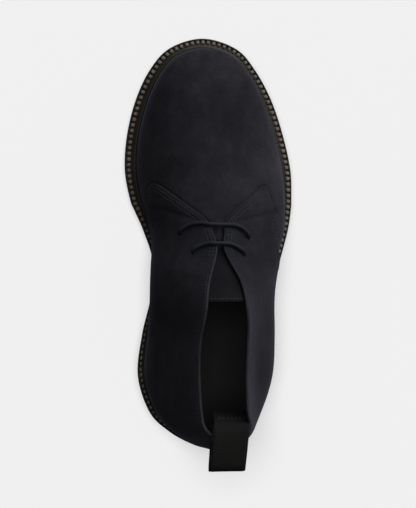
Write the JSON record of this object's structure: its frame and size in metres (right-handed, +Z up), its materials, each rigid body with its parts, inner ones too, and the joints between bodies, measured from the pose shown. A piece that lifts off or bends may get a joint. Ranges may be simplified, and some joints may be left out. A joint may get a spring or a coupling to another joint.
{
  "type": "chukka boot",
  "caption": "Right chukka boot in navy suede: wide round toe, storm-welted rubber sole with heel, open-laced quarters over a plain vamp, hollow inside, webbing pull loop at the heel.",
  "frame": {"origin": "on the floor, under the middle of the sole's length and width", "axes": "+Z up, the toe points along -Y and the heel along +Y; the outer (lateral) side of the boot is on -X and the inner (medial) side on +X"},
  "size_m": [0.125, 0.302, 0.128],
  "materials": {
    "outsole_rubber": "matt moulded black-brown rubber",
    "welt": "dark brown welt with grey-beige stitching",
    "insole": "smooth black sock lining",
    "suede": "navy suede with a short nap",
    "webbing": "black ribbed webbing",
    "lace": "round waxed braid, dark navy"
  },
  "bodies": {
    "root": {"outsole": "outsole_rubber", "welt": "welt", "insole": "insole", "upper": "suede", "tongue": "suede", "pull_loop": "webbing", "lace_front": "lace", "lace_rear": "lace"}
  },
  "joints": []
}
